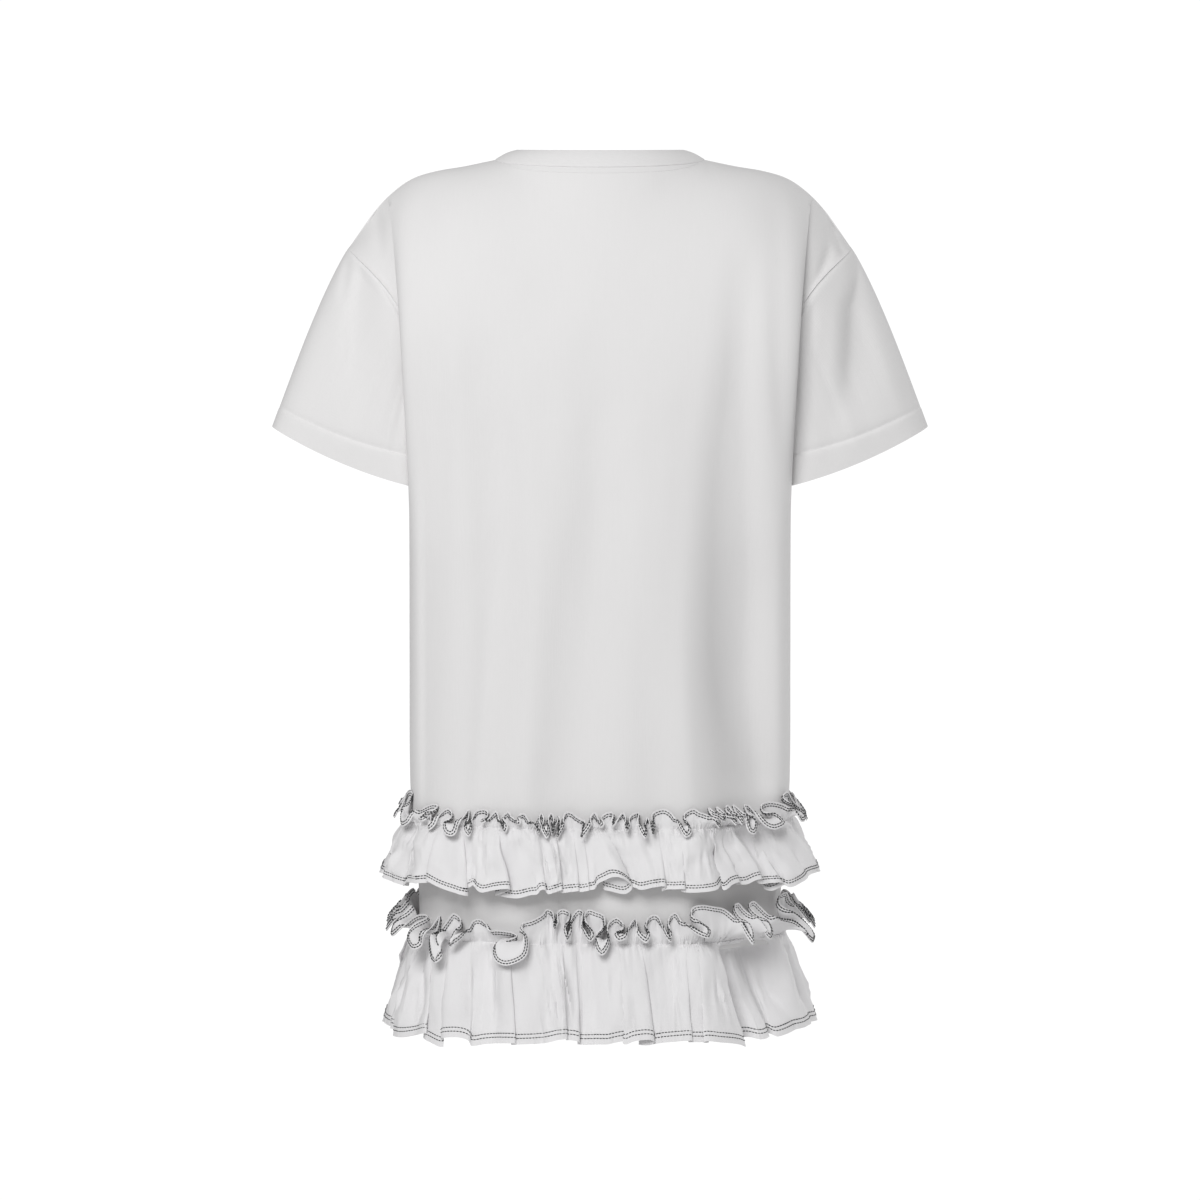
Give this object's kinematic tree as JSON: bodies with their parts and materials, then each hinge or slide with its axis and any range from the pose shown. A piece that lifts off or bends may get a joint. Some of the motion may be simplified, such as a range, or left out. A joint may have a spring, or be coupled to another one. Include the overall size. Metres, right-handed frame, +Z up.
{
  "type": "t-shirt dress",
  "caption": "Drop-shoulder jersey t-shirt dress in its worn, hollow shape, with a rib crew collar and gathered ruffle tiers with stitched headings at the hem.",
  "frame": {"origin": "midway between the two neck points of the shoulder seams, where the wearer's shoulders carry the dress", "axes": "+Z up, +X towards the wearer's left, and the front of the dress faces -Y"},
  "size_m": [0.6234, 0.3367, 0.8395],
  "materials": {
    "jersey": "matt white cotton jersey",
    "rib": "matt white cotton rib knit",
    "poplin": "crisp white cotton poplin"
  },
  "bodies": {
    "root": {"back_panel": "jersey", "front_panel": "jersey", "left_sleeve": "jersey", "right_sleeve": "jersey", "neck_rib": "rib", "upper_ruffle_back": "poplin", "upper_ruffle_front": "poplin", "lower_ruffle_back": "poplin", "lower_ruffle_front": "poplin"}
  },
  "joints": []
}
